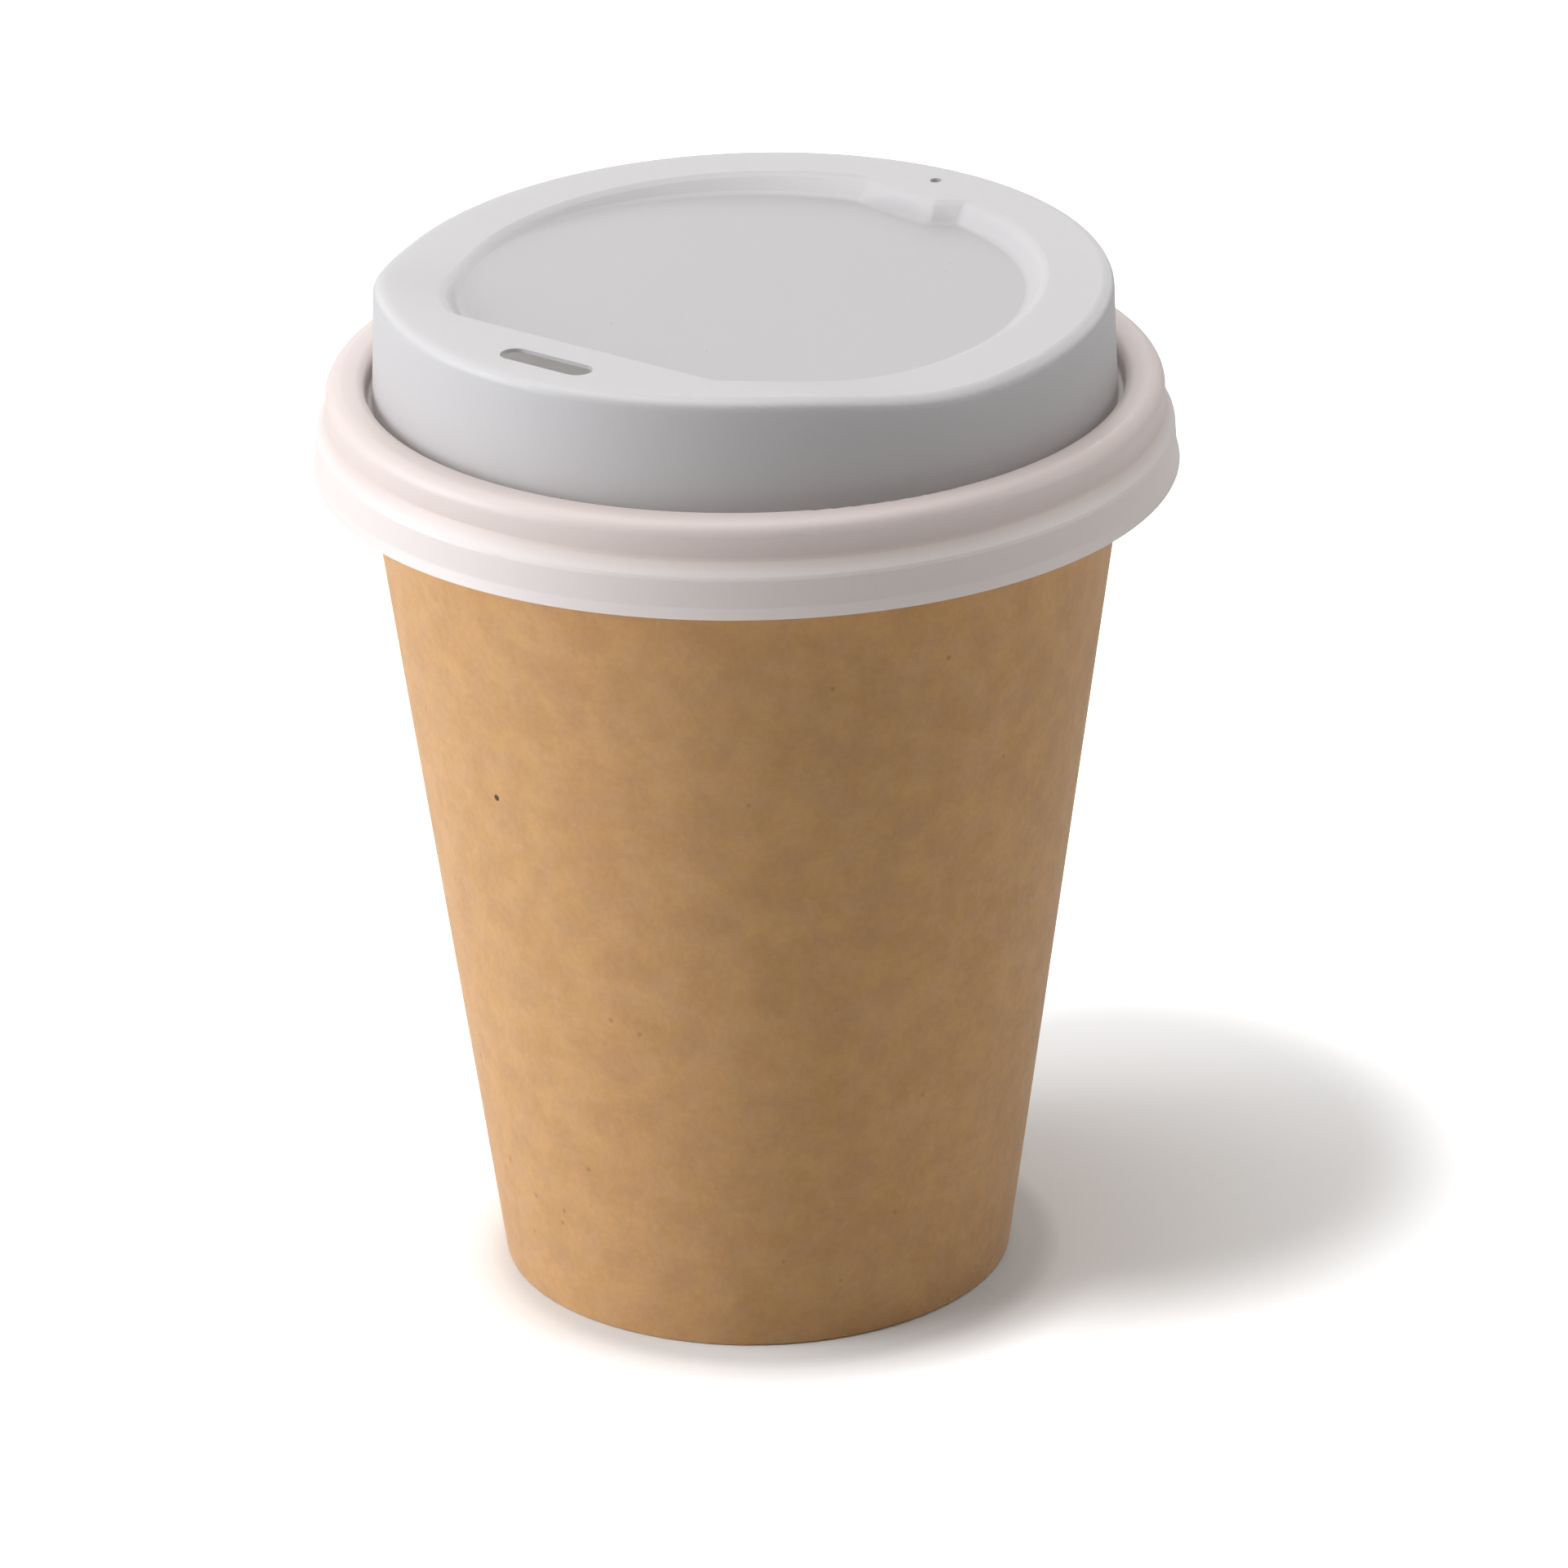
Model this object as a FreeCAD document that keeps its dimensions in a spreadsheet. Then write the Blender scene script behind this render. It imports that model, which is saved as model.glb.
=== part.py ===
import FreeCAD, Part
import math
import os

import Sketcher

# Paper takeaway cup with a thermoformed sip lid, in millimetres, +Z up.
# The origin is the middle of the ring that the cup stands on.
# Three pieces: the rolled sidewall, the recessed bottom and the snap-on lid.

os.makedirs("parts", exist_ok=True)
doc = FreeCAD.newDocument("paper_cup")

# How near an edge must lie to the place where it is looked for.
NEAR = 0.02

# Driving sizes

SIZES = (
    # The cup
    ("base_radius", 28.3, "outside of the cup at the table"),
    ("wall_lean", 7.77, "lean of the wall out from upright, degrees"),
    ("cup_height", 103.3, "table to the top of the rolled rim"),
    ("board", 0.38, "cup board"),
    ("glue_line", 0.04, "glue between two plies of board"),
    ("curl_radius", 1.55, "outside of the rolled rim's section"),
    ("curl_turn", 226.0, "where the rolled edge ends, degrees round its section"),
    ("hem_height", 6.8, "top of the wall's edge folded up inside the base"),
    ("hem_corner", 0.34, "rounding of the folded edge that meets the table"),
    ("base_recess", 8.4, "table to the underside of the bottom disc"),
    ("base_bend", 0.7, "outer bend of the bottom disc into its skirt"),
    ("seam_width", 7.0, "lap of the blank where it is glued"),
    ("seam_foot", 0.9, "lower end of the lap above the table"),
    ("seam_gap", 0.4, "upper end of the lap below the rolled rim"),
    # The lid: its heights count from the underside that sits on the rim
    ("lid_sheet", 0.42, "plastic sheet of the lid"),
    ("lid_turn", -37.0, "turn of the drinking hole from the front, degrees"),
    ("seat_gap", 0.12, "lid roof above the rim"),
    ("fit_gap", 0.14, "lid walls clear of the rim and the wall"),
    ("plug_depth", 2.2, "groove that drops inside the rim"),
    ("valley_width", 0.75, "floor of that groove"),
    ("dome_draft", 2.0, "draft of the dome wall, degrees"),
    ("band_height", 3.5, "snap band over the rim, down to its notch"),
    ("band_nip", 0.1, "draw-in of the snap band at its notch"),
    ("flare_step", 1.15, "step out below the notch"),
    ("flare_angle", 33.0, "slope of that step from upright, degrees"),
    ("skirt_height", 9.6, "roof to the lower edge of the skirt"),
    ("skirt_draft", 3.5, "draft of the lower band, degrees"),
    ("lip_height", 1.2, "flared lip at the lower edge"),
    ("lip_angle", 15.0, "slope of the lip from upright, degrees"),
    ("crown_outer", 1.7, "outer rounding over the rim"),
    ("crown_inner", 1.1, "inner rounding over the rim"),
    ("valley_fillet", 0.3, "rounding of the groove floor"),
    ("soft_edge", 0.8, "rounding of the notch, step and lip"),
    # The top of the dome
    ("platform_height", 12.0, "raised drinking platform"),
    ("platform_edge", 27.6, "middle of the lid to the platform's inner end"),
    ("ramp_run", 14.0, "length of the ramp down from the platform"),
    ("ramp_drop", 2.1, "height of that ramp"),
    ("ramp_fillet", 60.0, "rounding at both ends of the ramp"),
    ("rim_slope", 2.1, "rise of the rim toward the vent, degrees"),
    ("dome_edge", 1.3, "rounding of the dome's outer edge"),
    ("recess_depth", 0.4, "foot of the ramp down to the floor of the nose recess"),
    ("recess_radius", 30.8, "round side of the recess at its floor"),
    ("recess_flat", 5.0, "how far the straight side of the recess cuts into its circle"),
    ("recess_draft", 45.0, "draft of the recess wall, degrees"),
    ("recess_corner", 3.0, "rounding where the straight side ends"),
    ("recess_bend", 1.0, "rounding of the recess floor"),
    ("recess_edge", 1.3, "rounding of the recess's upper edge"),
    ("nub_left", 6.7, "start of the wall's nub beside the vent"),
    ("nub_right", 7.0, "end of the nub on its steep side"),
    ("nub_tip", 4.0, "sideways place of the nub's tip"),
    ("nub_reach", 2.8, "reach of the nub into the recess"),
    ("nub_round", 1.3, "rounding of the nub"),
    ("sip_length", 11.5, "drinking hole"),
    ("sip_width", 3.3, "width of the drinking hole"),
    ("sip_place", 34.4, "middle of the lid to the drinking hole"),
    ("vent_width", 1.3, "vent hole"),
    ("vent_place", 35.4, "middle of the lid to the vent hole"),
)

sheet = doc.addObject("Spreadsheet::Sheet", "Sizes")
for row, (alias, value, note) in enumerate(SIZES, start=1):
    sheet.set(f"A{row}", alias)
    sheet.set(f"B{row}", str(value))
    sheet.set(f"C{row}", note)
    sheet.setAlias(f"B{row}", alias)
doc.recompute()


# Helpers

def number(text):
    """The value of an expression over the sheet."""
    return float(sheet.evalExpression(text))


def new_body(name):
    body = doc.addObject("PartDesign::Body", name)
    body.Label = name
    return body


def new_sketch(body, name, role, height="0"):
    """A sketch on one of the body's own origin planes, raised by height."""
    sketch = body.newObject("Sketcher::SketchObject", name)
    plane = next(item for item in body.Origin.OriginFeatures if item.Role == role)
    sketch.AttachmentSupport = [(plane, "")]
    sketch.MapMode = "FlatFace"
    if height != "0":
        sketch.setExpression("AttachmentOffset.Base.z", height)
    return sketch


def bind(sketch, kind, arguments, text):
    """Add one dimension to a sketch and tie it to the sheet."""
    index = sketch.addConstraint(Sketcher.Constraint(kind, *arguments, number(text)))
    name = f"{kind}{index}"
    sketch.renameConstraint(index, name)
    sketch.setExpression(f"Constraints.{name}", text)


def place_corner(sketch, edge, end, across, up):
    """Hold one end of an edge at the point (across, up)."""
    if across == "0":
        sketch.addConstraint(Sketcher.Constraint("PointOnObject", edge, end, -2))
    else:
        bind(sketch, "DistanceX", (-1, 1, edge, end), across)
    if up == "0":
        sketch.addConstraint(Sketcher.Constraint("PointOnObject", edge, end, -1))
    else:
        bind(sketch, "DistanceY", (-1, 1, edge, end), up)


def hold_arc(sketch, edge, chord, arc):
    """Hold an arc by its radius, or a half circle by its centre."""
    across, up, radius, clockwise = arc
    if abs(chord - 2 * number(radius)) < NEAR:
        bind(sketch, "DistanceX", (-1, 1, edge, 3), across)
    else:
        bind(sketch, "Radius", (edge,), radius)


def draw_outline(sketch, corners):
    """Draw a closed outline.

    Each corner is (across, up) or (across, up, arc). An arc holds the centre's
    across and up, the radius and True if it runs clockwise; it leads to the
    next corner, and a plain corner leads there by a straight line.
    """
    points = [FreeCAD.Vector(number(corner[0]), number(corner[1]), 0) for corner in corners]
    starts, ends = [], []
    for index, corner in enumerate(corners):
        here, there = points[index], points[(index + 1) % len(corners)]
        if len(corner) == 2:
            sketch.addGeometry(Part.LineSegment(here, there))
            starts.append(1)
            ends.append(2)
            continue
        across, up, radius, clockwise = corner[2]
        centre = FreeCAD.Vector(number(across), number(up), 0)
        first, last = (there, here) if clockwise else (here, there)
        angles = [math.atan2(p.y - centre.y, p.x - centre.x) for p in (first, last)]
        circle = Part.Circle(centre, FreeCAD.Vector(0, 0, 1), number(radius))
        sketch.addGeometry(Part.ArcOfCircle(circle, *angles))
        starts.append(2 if clockwise else 1)
        ends.append(1 if clockwise else 2)
    for index, corner in enumerate(corners):
        after = (index + 1) % len(corners)
        sketch.addConstraint(
            Sketcher.Constraint("Coincident", index, ends[index], after, starts[after]))
        place_corner(sketch, index, starts[index], corner[0], corner[1])
        if len(corner) == 3:
            hold_arc(sketch, index, points[index].distanceToPoint(points[after]), corner[2])


def revolve(body, name, corners, role="XZ_Plane", sweep=None):
    """Turn a section about the upright axis, all round or by a sweep in degrees."""
    sketch = new_sketch(body, name + "_section", role)
    draw_outline(sketch, corners)
    feature = body.newObject("PartDesign::Revolution", name)
    feature.Profile = sketch
    feature.ReferenceAxis = (sketch, ["V_Axis"])
    if sweep:
        feature.Midplane = True
        feature.setExpression("Angle", sweep)
    doc.recompute()


def pocket(body, name, sketch, length=None, upward=False, draft=None):
    """Cut a sketch out of the body, by a length or both ways through all."""
    before = body.Tip.Shape.Volume
    feature = body.newObject("PartDesign::Pocket", name)
    feature.Profile = sketch
    feature.Reversed = upward
    if length:
        feature.setExpression("Length", length)
    else:
        feature.Type = "ThroughAll"
        feature.SideType = "Symmetric"
    if draft:
        feature.setExpression("TaperAngle", draft)
    doc.recompute()
    if not feature.Shape.Volume < before:
        raise RuntimeError(f"{name} cuts nothing")


def ring(radius, height):
    """A test for the full circle of this radius at this height."""
    wanted, level = number(radius), number(height)

    def test(edge):
        curve = edge.Curve
        return (isinstance(curve, Part.Circle) and abs(curve.Radius - wanted) < NEAR
                and abs(curve.Center.z - level) < NEAR)
    return test


def fillet(body, name, radius, tests):
    """Round the edges of the body that pass any of the tests."""
    base = body.Tip
    names = [f"Edge{count}" for count, edge in enumerate(base.Shape.Edges, start=1)
             if any(test(edge) for test in tests)]
    if len(names) < len(tests):
        raise RuntimeError(f"{name}: {len(names)} edges found for {len(tests)} tests")
    feature = body.newObject("PartDesign::Fillet", name)
    feature.Base = (base, names)
    feature.setExpression("Radius", radius)
    doc.recompute()
    if feature.Shape.isNull() or not feature.Shape.isValid():
        raise RuntimeError(f"{name} of {len(names)} edges failed: {feature.State}")


# Lines that the cup's plies follow

def wall_at(height, depth="0"):
    """Radius at a height, this deep into the board from the outside."""
    return (f"(Sizes.base_radius + ({height}) * tan(Sizes.wall_lean)"
            f" - ({depth}) / cos(Sizes.wall_lean))")


PLY_1 = "Sizes.board"
PLY_2_OUT = "(Sizes.board + Sizes.glue_line)"
PLY_2_IN = "(2 * Sizes.board + Sizes.glue_line)"
PLY_3_OUT = "(2 * Sizes.board + 2 * Sizes.glue_line)"
PLY_3_IN = "(3 * Sizes.board + 2 * Sizes.glue_line)"

CURL_UP = "(Sizes.cup_height - Sizes.curl_radius)"
CURL_OUT = f"({wall_at(CURL_UP, PLY_1)} + Sizes.curl_radius / cos(Sizes.wall_lean))"
CURL_CORE = "(Sizes.curl_radius - Sizes.board)"


def on_curl(radius, angle):
    """A point on the rolled rim's section."""
    return (f"({CURL_OUT} + {radius} * cos({angle}))", f"({CURL_UP} + {radius} * sin({angle}))")


# Sidewall: one blank with its rim rolled out and its foot folded in and up

def make_sidewall():
    body = new_body("wall_blank")
    wall_side = "(180 - Sizes.wall_lean)"
    corners = [
        (wall_at("0"), "0"),
        (*on_curl(CURL_CORE, wall_side), (CURL_OUT, CURL_UP, CURL_CORE, True)),
        on_curl(CURL_CORE, "Sizes.curl_turn"),
        (*on_curl("Sizes.curl_radius", "Sizes.curl_turn"),
         (CURL_OUT, CURL_UP, "Sizes.curl_radius", False)),
        on_curl("Sizes.curl_radius", wall_side),
        (wall_at("Sizes.board", PLY_1), "Sizes.board"),
        (wall_at("Sizes.board", PLY_3_OUT), "Sizes.board"),
        (wall_at("Sizes.hem_height", PLY_3_OUT), "Sizes.hem_height"),
        (wall_at("Sizes.hem_height", PLY_3_IN), "Sizes.hem_height"),
        (wall_at("0", PLY_3_IN), "0"),
    ]
    revolve(body, "wall", corners)
    fillet(body, "folded_foot", "Sizes.hem_corner",
           [ring(wall_at("0"), "0"), ring(wall_at("0", PLY_3_IN), "0")])

    # The glued lap is a second ply on the outside, at the back. It starts inside
    # the wall's board, so that the two join, and is trimmed to its width.
    lap = new_body("lap_ply")
    top = f"({CURL_UP} - Sizes.curl_radius - Sizes.seam_gap)"
    outside = "(-Sizes.board)"
    inside = "(Sizes.board / 4)"
    revolve(lap, "lap", [
        (wall_at("Sizes.seam_foot", outside), "Sizes.seam_foot"),
        (wall_at(top, outside), top),
        (wall_at(top, inside), top),
        (wall_at("Sizes.seam_foot", inside), "Sizes.seam_foot"),
    ], role="YZ_Plane", sweep="2 * atan(Sizes.seam_width / Sizes.base_radius)")
    strip = doc.addObject("Part::Box", "lap_strip")
    strip.setExpression("Length", "Sizes.seam_width")
    strip.setExpression("Width", "2 * Sizes.base_radius")
    strip.setExpression("Height", "Sizes.cup_height")
    strip.setExpression("Placement.Base.x", "-Sizes.seam_width / 2")
    seam = doc.addObject("Part::Common", "lap_seam")
    seam.Base = lap
    seam.Tool = strip
    sidewall = doc.addObject("Part::Fuse", "cup_sidewall")
    sidewall.Base = body
    sidewall.Tool = seam
    return sidewall


# Bottom: a disc whose edge turns down between the wall and its fold

def make_bottom():
    body = new_body("cup_bottom")
    foot = PLY_2_OUT
    top = "(Sizes.base_recess + Sizes.board)"
    revolve(body, "disc", [
        ("0", "Sizes.base_recess"),
        (wall_at("Sizes.base_recess", PLY_2_IN), "Sizes.base_recess"),
        (wall_at(foot, PLY_2_IN), foot),
        (wall_at(foot, PLY_2_OUT), foot),
        (wall_at(top, PLY_2_OUT), top),
        ("0", top),
    ])
    fillet(body, "bend_outside", "Sizes.base_bend", [ring(wall_at(top, PLY_2_OUT), top)])
    fillet(body, "bend_inside", "Sizes.base_bend - Sizes.board",
           [ring(wall_at("Sizes.base_recess", PLY_2_IN), "Sizes.base_recess")])
    return body


# Lid: a formed sheet, so its inside is its outside moved in by the sheet

RIM_OUT = f"({CURL_OUT} + Sizes.curl_radius)"
PLUG_LOW = "(Sizes.cup_height + Sizes.seat_gap - Sizes.plug_depth - Sizes.lid_sheet)"
PLUG_OUT = f"({wall_at(PLUG_LOW, PLY_1)} - Sizes.fit_gap)"
DOME_FOOT = f"({PLUG_OUT} - Sizes.lid_sheet - Sizes.valley_width)"
# Well above the dome, where its form starts and its cuts end.
CEILING = "(2 * Sizes.platform_height)"
RECESS_FLOOR = "(Sizes.platform_height - Sizes.ramp_drop - Sizes.recess_depth)"


def make_lid_form(name, skin):
    """The lid's solid form, skin deep below its outer surface."""
    body = new_body(name)
    band = f"({RIM_OUT} + Sizes.fit_gap + Sizes.lid_sheet - {skin})"
    notch = f"({band} - Sizes.band_nip)"
    lower = f"({notch} + Sizes.flare_step)"
    roof = f"(Sizes.lid_sheet - {skin})"
    notch_up = f"(-Sizes.band_height - {skin} * tan(Sizes.flare_angle / 2))"
    lower_up = f"({notch_up} - Sizes.flare_step / tan(Sizes.flare_angle))"
    lip_up = f"(-Sizes.skirt_height + Sizes.lip_height - {skin} * tan(Sizes.lip_angle / 2))"
    lip = f"({lower} + ({lower_up} - {lip_up}) * tan(Sizes.skirt_draft))"
    edge_up = f"(-Sizes.skirt_height - {skin})"
    edge = f"({lip} + ({lip_up} - {edge_up}) * tan(Sizes.lip_angle))"
    plug = f"({PLUG_OUT} - Sizes.lid_sheet + {skin})"
    valley_up = f"(-Sizes.plug_depth - {skin})"
    foot = f"({DOME_FOOT} - {skin})"
    shoulder = f"({foot} - ({CEILING} - {valley_up}) * tan(Sizes.dome_draft))"
    revolve(body, name + "_turned", [
        ("0", edge_up),
        (edge, edge_up),
        (lip, lip_up),
        (lower, lower_up),
        (notch, notch_up),
        (band, roof),
        (plug, roof),
        (plug, valley_up),
        (foot, valley_up),
        (shoulder, CEILING),
        ("0", CEILING),
    ])
    # Outward corners lose the skin in their rounding, inward ones gain it.
    fillet(body, name + "_crown", f"Sizes.crown_outer - {skin}", [ring(band, roof)])
    fillet(body, name + "_crown_in", f"Sizes.crown_inner - {skin}", [ring(plug, roof)])
    fillet(body, name + "_valley", f"Sizes.valley_fillet + {skin}",
           [ring(plug, valley_up), ring(foot, valley_up)])
    fillet(body, name + "_notch", f"Sizes.soft_edge + {skin}", [ring(notch, notch_up)])
    fillet(body, name + "_step", f"Sizes.soft_edge - {skin}", [ring(lower, lower_up)])
    fillet(body, name + "_lip", f"Sizes.soft_edge + {skin}", [ring(lip, lip_up)])

    def dome_edge(edge):
        """The brink of the dome wall, wherever the sloping top cuts it."""
        middle = edge.valueAt((edge.FirstParameter + edge.LastParameter) / 2)
        wall = number(foot) - (middle.z - number(valley_up)) * number("tan(Sizes.dome_draft)")
        return middle.z > number(RECESS_FLOOR) and (
            abs(math.hypot(middle.x, middle.y) - wall) < NEAR)

    shape_dome_top(body, name, skin)
    fillet(body, name + "_dome_edge", f"Sizes.dome_edge - {skin}", [dome_edge])
    cut_recess(body, name, skin)
    return body


def shape_dome_top(body, name, skin):
    """Cut the platform, the ramp and the rim that rises from it to the vent."""
    reach = f"(2 * {DOME_FOOT})"
    platform = f"(Sizes.platform_height - {skin})"
    low = f"({platform} - Sizes.ramp_drop)"
    fall = "atan(Sizes.ramp_drop / Sizes.ramp_run)"
    rise = "(Sizes.rim_slope * 1 deg)"
    ramp_top = "(-Sizes.platform_edge)"
    ramp_foot = "(-Sizes.platform_edge + Sizes.ramp_run)"
    round_top = f"(Sizes.ramp_fillet - {skin})"
    round_foot = f"(Sizes.ramp_fillet + {skin})"
    back = f"({round_top} * tan({fall} / 2))"
    turn = f"({round_foot} * tan(({fall} + {rise}) / 2))"
    foot_out = f"({ramp_foot} + {turn} * cos({rise}))"
    foot_up = f"({low} + {turn} * sin({rise}))"
    far = f"({low} + ({reach} - {ramp_foot}) * tan({rise}))"
    above = f"(2 * {CEILING})"
    sketch = new_sketch(body, name + "_top_line", "YZ_Plane")
    draw_outline(sketch, [
        (f"(-{reach})", platform),
        (f"({ramp_top} - {back})", platform,
         (f"({ramp_top} - {back})", f"({platform} - {round_top})", round_top, True)),
        (f"({ramp_top} + {back} * cos({fall}))", f"({platform} - {back} * sin({fall}))"),
        (f"({ramp_foot} - {turn} * cos({fall}))", f"({low} + {turn} * sin({fall}))",
         (f"({foot_out} - {round_foot} * sin({rise}))",
          f"({foot_up} + {round_foot} * cos({rise}))", round_foot, False)),
        (foot_out, foot_up),
        (reach, far),
        (reach, above),
        (f"(-{reach})", above),
    ])
    pocket(body, name + "_top", sketch)


def cut_recess(body, name, skin):
    """The nose recess: a round floor cut off by a chord, with a nub by the vent."""
    floor = f"({RECESS_FLOOR} - {skin})"
    # Where the sloping wall meets the floor, the skin shifts the outline by less.
    radius = f"(Sizes.recess_radius + {skin} * tan(45 - Sizes.recess_draft / 2))"
    chord = f"(Sizes.recess_flat - {radius})"
    chord_end = f"sqrt({radius}^2 - {chord}^2)"
    left = "(-Sizes.nub_left)"
    left_up = f"sqrt({radius}^2 - Sizes.nub_left^2)"
    right = "Sizes.nub_right"
    right_up = f"sqrt({radius}^2 - Sizes.nub_right^2)"
    tip = "Sizes.nub_tip"
    tip_up = f"({radius} - Sizes.nub_reach)"
    sketch = new_sketch(body, name + "_recess_outline", "XY_Plane", floor)
    draw_outline(sketch, [
        (f"(-{chord_end})", chord),
        (chord_end, chord, ("0", "0", radius, False)),
        (right, right_up),
        (tip, tip_up),
        (left, left_up, ("0", "0", radius, False)),
    ])
    # Deep enough to clear the platform and the high end of the rim.
    depth = "2 * (Sizes.ramp_drop + Sizes.recess_depth)"
    pocket(body, name + "_recess", sketch, depth, upward=True, draft="Sizes.recess_draft")

    level = number(floor)
    halfway = number(f"({radius} + {DOME_FOOT}) / 2")

    def upright(across, along):
        """A test for the wall's edge that stands on this corner of the floor."""
        corner = FreeCAD.Vector(number(across), number(along), level)

        def test(edge):
            ends = sorted((vertex.Point for vertex in edge.Vertexes), key=lambda end: end.z)
            return (len(ends) == 2 and ends[1].z > level + NEAR
                    and ends[0].distanceToPoint(corner) < NEAR)
        return test

    def on_floor(edge):
        return abs(edge.BoundBox.ZMin - level) < NEAR and edge.BoundBox.ZLength < NEAR

    def on_brink(edge):
        """Above the floor and nearer to the recess than to the dome wall."""
        box = edge.BoundBox
        reach = max(-box.XMin, box.XMax, -box.YMin, box.YMax)
        return box.ZMin > level + NEAR and reach < halfway

    fillet(body, name + "_recess_corners", f"Sizes.recess_corner + {skin}",
           [upright(f"(-{chord_end})", chord), upright(chord_end, chord)])
    fillet(body, name + "_nub_tip", f"Sizes.nub_round - {skin}", [upright(tip, tip_up)])
    fillet(body, name + "_nub_roots", f"Sizes.nub_round + {skin}",
           [upright(left, left_up), upright(right, right_up)])
    fillet(body, name + "_recess_bend", f"Sizes.recess_bend + {skin}", [on_floor])
    fillet(body, name + "_recess_edge", f"Sizes.recess_edge - {skin}", [on_brink])


def punch(body):
    """Punch the drinking hole and the vent hole, from above and past the sheet."""
    depth = f"{CEILING} - {RECESS_FLOOR}"
    half = "(Sizes.sip_length / 2 - Sizes.sip_width / 2)"
    near = "(-Sizes.sip_place - Sizes.sip_width / 2)"
    far = "(-Sizes.sip_place + Sizes.sip_width / 2)"
    end = "Sizes.sip_width / 2"
    sketch = new_sketch(body, "sip_outline", "XY_Plane", CEILING)
    draw_outline(sketch, [
        (f"(-{half})", near),
        (half, near, (half, "(-Sizes.sip_place)", end, False)),
        (half, far),
        (f"(-{half})", far, (f"(-{half})", "(-Sizes.sip_place)", end, False)),
    ])
    pocket(body, "sip_hole", sketch, depth)
    sketch = new_sketch(body, "vent_outline", "XY_Plane", CEILING)
    sketch.addGeometry(Part.Circle(
        FreeCAD.Vector(0, number("Sizes.vent_place"), 0), FreeCAD.Vector(0, 0, 1),
        number("Sizes.vent_width / 2")))
    place_corner(sketch, 0, 3, "0", "Sizes.vent_place")
    bind(sketch, "Radius", (0,), "Sizes.vent_width / 2")
    pocket(body, "vent_hole", sketch, depth)


def make_lid():
    outside = make_lid_form("lid_form", "0")
    punch(outside)
    inside = make_lid_form("lid_core", "Sizes.lid_sheet")
    lid = doc.addObject("Part::Cut", "sip_lid")
    lid.Base = outside
    lid.Tool = inside
    lid.setExpression("Placement", "placement(vector(0; 0; Sizes.cup_height + Sizes.seat_gap);"
                      " rotation(vector(0; 0; 1); Sizes.lid_turn))")
    return lid


# Build, check and write the pieces

nodes = [make_sidewall(), make_bottom(), make_lid()]
doc.recompute()
for item in doc.Objects:
    if {"Invalid", "Error"} & set(item.State):
        raise RuntimeError(f"{item.Name} failed: {item.State}")
for node in nodes:
    shape = node.Shape
    if shape.isNull() or not shape.isValid() or len(shape.Solids) != 1:
        raise RuntimeError(f"{node.Name} is not one sound solid")
    node.Label = node.Name
    shape.exportStep(f"parts/{node.Name}.step")
    box = shape.BoundBox
    print(f"{node.Name}: {shape.Volume:.0f} mm3, {len(shape.Faces)} faces,"
          f" x {box.XMin:.2f} to {box.XMax:.2f}, z {box.ZMin:.2f} to {box.ZMax:.2f}")
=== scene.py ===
import logging
import math
from dataclasses import dataclass
from enum import Enum

import bpy
from mathutils import Matrix, Vector

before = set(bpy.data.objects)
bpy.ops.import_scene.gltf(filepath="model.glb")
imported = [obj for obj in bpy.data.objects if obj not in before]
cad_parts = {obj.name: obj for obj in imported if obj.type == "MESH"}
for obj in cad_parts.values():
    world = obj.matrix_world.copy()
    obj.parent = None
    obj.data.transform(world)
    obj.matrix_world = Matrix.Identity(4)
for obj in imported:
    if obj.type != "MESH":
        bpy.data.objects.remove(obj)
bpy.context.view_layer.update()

LOG = logging.getLogger("paper_cup")

Colour = tuple[float, float, float]
Axes = tuple[float, float, float]
Pair = tuple[float, float]


# Small helpers

def colour4(colour: Colour) -> tuple[float, float, float, float]:
    """The colour with full alpha."""
    return (*colour, 1.0)


def add_node(tree: bpy.types.NodeTree, kind: str, **settings: object) -> bpy.types.Node:
    """Add a shader node.

    Args:
        tree: The material's or the group's node tree.
        kind: The node's type without its ShaderNode prefix.
        settings: Properties of the node, such as its operation.

    Returns:
        The new node.
    """
    node = tree.nodes.new("ShaderNode" + kind)
    for key, value in settings.items():
        setattr(node, key, value)
    return node


def feed(tree: bpy.types.NodeTree, node: bpy.types.Node, **sources: object) -> bpy.types.Node:
    """Link or set inputs of a node.

    Args:
        tree: The tree that holds the node.
        node: The node to feed.
        sources: Input name, with underscores for spaces, or i and the input's index, to a socket
            or a plain value.

    Returns:
        The same node.
    """
    for key, source in sources.items():
        name = key.replace("_", " ")
        by_index = name[0] == "i" and name[1:].isdigit()
        socket = node.inputs[int(name[1:]) if by_index else name]
        if isinstance(source, bpy.types.NodeSocket):
            tree.links.new(source, socket)
        else:
            socket.default_value = source
    return node


def maths(tree: bpy.types.NodeTree, operation: str, *values: object) -> bpy.types.NodeSocket:
    """One Math node.

    Args:
        tree: The tree to add it to.
        operation: Blender's name of the operation.
        values: Sockets or numbers for its inputs, in order.

    Returns:
        The node's output.
    """
    node = add_node(tree, "Math", operation=operation)
    feed(tree, node, **{f"i{index}": value for index, value in enumerate(values)})
    return node.outputs[0]


def mix_colour(tree: bpy.types.NodeTree, factor: object, first: object,
               second: object) -> bpy.types.NodeSocket:
    """Mix two colours.

    Args:
        tree: The tree to add the node to.
        factor: Socket or number, 0 for the first colour.
        first: Socket or colour.
        second: Socket or colour.

    Returns:
        The mixed colour's socket.
    """
    node = add_node(tree, "Mix", data_type="RGBA")
    # The node's colours go in at 6 and 7 and come out at 2
    return feed(tree, node, i0=factor, i6=first, i7=second).outputs[2]


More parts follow.
